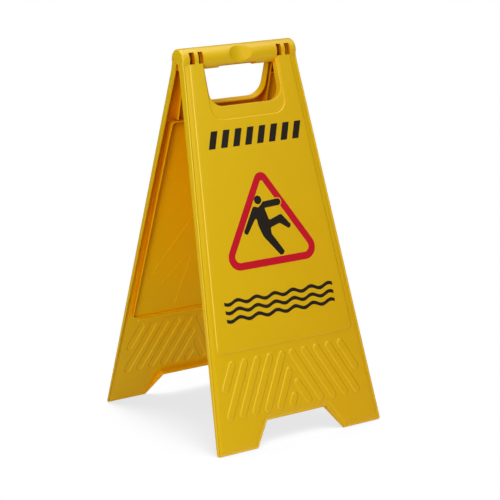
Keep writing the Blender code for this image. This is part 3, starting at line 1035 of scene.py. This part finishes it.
def paint_light_across(material, light, warm):
    """Painted light and shade: the colour is tinted from a lighter yellow at the top left, where the light falls,
    to a warmer and darker one at the lower right, turned away from it.
    """
    tree = material.node_tree
    shader = tree.nodes["Principled BSDF"]
    where = tree.nodes.new("ShaderNodeTexCoord")
    along = tree.nodes.new("ShaderNodeVectorMath")
    along.operation = "DOT_PRODUCT"
    along.inputs[1].default_value = PAINTED_LIGHT_DIRECTION
    tree.links.new(where.outputs["Object"], along.inputs[0])
    drift = colour_mix(tree, ramp(tree, along.outputs["Value"], *PAINTED_LIGHT_RANGE), light, warm)
    tinted = colour_mix(tree, 1.0, base_colour(shader), drift, "MULTIPLY")
    feed(tree, shader.inputs["Base Color"], tinted)


# Reaches and samples of the openness that sets the painted shade in hollows, and the gloss level left in full
# shade.
WIDE_REACH = 0.30
NEAR_REACH = 0.025
OPENNESS_SAMPLES = 12
SHADED_GLOSS_LEVEL = 0.03


def openness_within(tree, reach):
    node = tree.nodes.new("ShaderNodeAmbientOcclusion")
    node.samples = OPENNESS_SAMPLES
    node.inputs["Distance"].default_value = reach
    return node.outputs["AO"]


def paint_shade_in_hollows(material, glow, painted_shade_colour):
    """Painted shade and bounced light: where the surface is closed in, in hollows and next to walls, the base
    colour turns a deeper orange and then darker, as light bounced about inside coloured plastic would look, and
    the gloss is taken down there as painted shade on the reflections.
    """
    tree = material.node_tree
    shader = tree.nodes["Principled BSDF"]
    wide = openness_within(tree, WIDE_REACH)
    near = openness_within(tree, NEAR_REACH)
    # Painted bounce light and painted shade: orange in wide hollows, dark next to near walls and in deep hollows.
    for colour, openness, open_end, closed_end in (
        (glow, wide, 0.80, 0.40),
        (painted_shade_colour, near, 0.80, 0.28),
        (painted_shade_colour, wide, 0.42, 0.12),
    ):
        amount = ramp(tree, openness, open_end, closed_end)
        feed(tree, shader.inputs["Base Color"], colour_mix(tree, amount, base_colour(shader), colour))
    # Painted shade on the reflections: the gloss is lowered where the surface is closed in.
    level = shader.inputs["Specular IOR Level"]
    feed(tree, level, ramp(tree, wide, 0.60, 0.92, SHADED_GLOSS_LEVEL, level.default_value))


def paint(thing, material):
    thing.data.materials.clear()
    thing.data.materials.append(material)
    for polygon in thing.data.polygons:
        polygon.material_index = 0


# --- stage, light and camera ------------------------------------------------------------------------


FLOOR_REACH = 3.0
FLOOR_BOUNCE = (0.95, 0.86, 0.72)
SHADE_REACH = 0.7
WORLD_LIGHT = 0.06
CARD_HALF = 1.6
CARD_HEIGHT = 2.6
CARD_GLOW = 3.0


def is_camera_ray(tree):
    return tree.nodes.new("ShaderNodeLightPath").outputs["Is Camera Ray"]


def square(name, half, height):
    """A level square with its own material, and that material's node tree."""
    mesh = bpy.data.meshes.new(name)
    corners = [(-half, -half, height), (half, -half, height), (half, half, height), (-half, half, height)]
    mesh.from_pydata(corners, [], [(0, 1, 2, 3)])
    thing = link(name, mesh)
    material = bpy.data.materials.new(name)
    material.use_nodes = True
    paint(thing, material)
    return thing, material.node_tree


def floor():
    """A pale floor: it bounces warm light, and the camera sees it white with a soft contact shade."""
    thing, tree = square("floor", FLOOR_REACH, 0)
    bounce = tree.nodes["Principled BSDF"]
    bounce.inputs["Base Color"].default_value = (*FLOOR_BOUNCE, 1)
    bounce.inputs["Specular IOR Level"].default_value = 0.0
    openness = tree.nodes.new("ShaderNodeAmbientOcclusion")
    openness.samples = 32
    openness.inputs["Distance"].default_value = SHADE_REACH
    shade = ramp(tree, openness.outputs["AO"], 0.42, 0.74, 0.78, 1.0)
    shade.node.interpolation_type = "SMOOTHSTEP"
    seen = tree.nodes.new("ShaderNodeEmission")
    feed(tree, seen.inputs["Strength"], shade)
    mix = tree.nodes.new("ShaderNodeMixShader")
    feed(tree, mix.inputs[0], is_camera_ray(tree))
    feed(tree, mix.inputs[1], bounce.outputs[0])
    feed(tree, mix.inputs[2], seen.outputs[0])
    feed(tree, tree.nodes["Material Output"].inputs["Surface"], mix.outputs[0])
    thing.visible_shadow = False


def gloss_card():
    """A bright card overhead that only reflections see: the pale sheen along the top of the handle."""
    thing, tree = square("gloss_card", CARD_HALF, CARD_HEIGHT)
    glow = tree.nodes.new("ShaderNodeEmission")
    glow.inputs["Strength"].default_value = CARD_GLOW
    feed(tree, tree.nodes["Material Output"].inputs["Surface"], glow.outputs[0])
    thing.visible_camera = False
    thing.visible_diffuse = False
    thing.visible_shadow = False


def softbox(name, place, target, size, power):
    data = bpy.data.lights.new(name, "AREA")
    data.shape = "RECTANGLE"
    data.size, data.size_y = size
    data.energy = power
    lamp = bpy.data.objects.new(name, data)
    lamp.location = place
    lamp.rotation_euler = (Vector(target) - Vector(place)).to_track_quat("-Z", "Y").to_euler()
    bpy.context.scene.collection.objects.link(lamp)


def studio_world():
    """A white background for the camera, and only a faint light on the sign."""
    world = bpy.data.worlds.new("studio")
    world.use_nodes = True
    tree = world.node_tree
    background = tree.nodes["Background"]
    background.inputs["Color"].default_value = (1, 1, 1, 1)
    feed(tree, background.inputs["Strength"], ramp(tree, is_camera_ray(tree), 0.0, 1.0, WORLD_LIGHT, 1.0))
    bpy.context.scene.world = world


def lights():
    studio_world()
    softbox("overhead", place=(0.0, -0.1, 3.0), target=(0, 0, 0.2), size=(2.0, 2.0), power=40)
    softbox("left", place=(-2.4, -1.9, 1.5), target=(0, 0, 0.3), size=(1.2, 1.6), power=58)
    softbox("front", place=(0.6, -2.3, 2.0), target=(0, 0, 0.3), size=(1.4, 1.2), power=10)


CAMERA_PLACE = (-1.5782, -2.3932, 0.9566)
CAMERA_YAW = 0.5958
CAMERA_PITCH = 0.2369
CAMERA_ROLL = -0.0153
CAMERA_LENS = 134.52
CAMERA_SHIFT = (-0.02305, 0.0006)


def camera():
    yaw, pitch, roll = CAMERA_YAW, CAMERA_PITCH, CAMERA_ROLL
    look = Vector((math.sin(yaw) * math.cos(pitch), math.cos(yaw) * math.cos(pitch), -math.sin(pitch)))
    level = Vector((math.cos(yaw), -math.sin(yaw), 0))
    up = level.cross(look)
    right = level * math.cos(roll) + up * math.sin(roll)
    up = up * math.cos(roll) - level * math.sin(roll)
    data = bpy.data.cameras.new("camera")
    data.lens = CAMERA_LENS
    data.shift_x, data.shift_y = CAMERA_SHIFT
    thing = bpy.data.objects.new("camera", data)
    turn = Matrix((right, up, -look)).transposed().to_4x4()
    thing.matrix_world = Matrix.Translation(CAMERA_PLACE) @ turn
    bpy.context.scene.collection.objects.link(thing)
    bpy.context.scene.camera = thing


# --- assembly ---------------------------------------------------------------------------------------


def panels(yellow):
    for make, body, node in ((front_panel, "front", "front_panel"), (rear_panel, "rear", "rear_panel")):
        shell = make()
        paint(shell, yellow)
        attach(shell, body)
        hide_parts(node)


def prints(red, black):
    for side, body in ((FRONT, "front"), (REAR, "rear")):
        for make, ink, slot in (
            (triangle, red, "red_print"),
            (figure, black, "black_print"),
            (hazard_bars, black, "black_print"),
            (water_lines, black, "black_print"),
        ):
            film = make(side)
            film.name = body + "_" + film.name.split(".")[0]
            soften(film)
            paint(film, ink)
            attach(film, body)


def pins(material):
    """The pins keep their CAD shape and only get their material."""
    for name in ("hinge_pin_left", "hinge_pin_right"):
        paint(frame["nodes"][name], material)


def main():
    yellow = new_material("yellow_plastic", (0.800, 0.502, 0.0005), (0.775, 0.480, 0.0005), 0.36, 0.40, 0.10)
    # Painted light and shade: lighter yellow at the top left, warmer and darker at the lower right.
    paint_light_across(yellow, (1.00, 1.06, 1.0), (0.96, 0.90, 0.6))
    # Painted shade and bounced light in the hollows, corners and inside of the tray.
    paint_shade_in_hollows(yellow, (0.980, 0.455, 0.000), (0.600, 0.150, 0.000))
    pin = new_material("pin_plastic_look", (0.80, 0.47, 0.002), (0.76, 0.43, 0.002), 0.32, 0.45, 0.08)
    red = new_material("red_ink", (0.60, 0.004, 0.022), (0.57, 0.004, 0.018), 0.50, 0.20, 0.05)
    black = new_material("black_ink", (0.020, 0.014, 0.010), (0.015, 0.011, 0.009), 0.45, 0.20, 0.05)
    panels(yellow)
    prints(red, black)
    pins(pin)
    floor()
    lights()
    gloss_card()
    camera()
    bpy.context.scene.view_settings.view_transform = "Standard"


main()
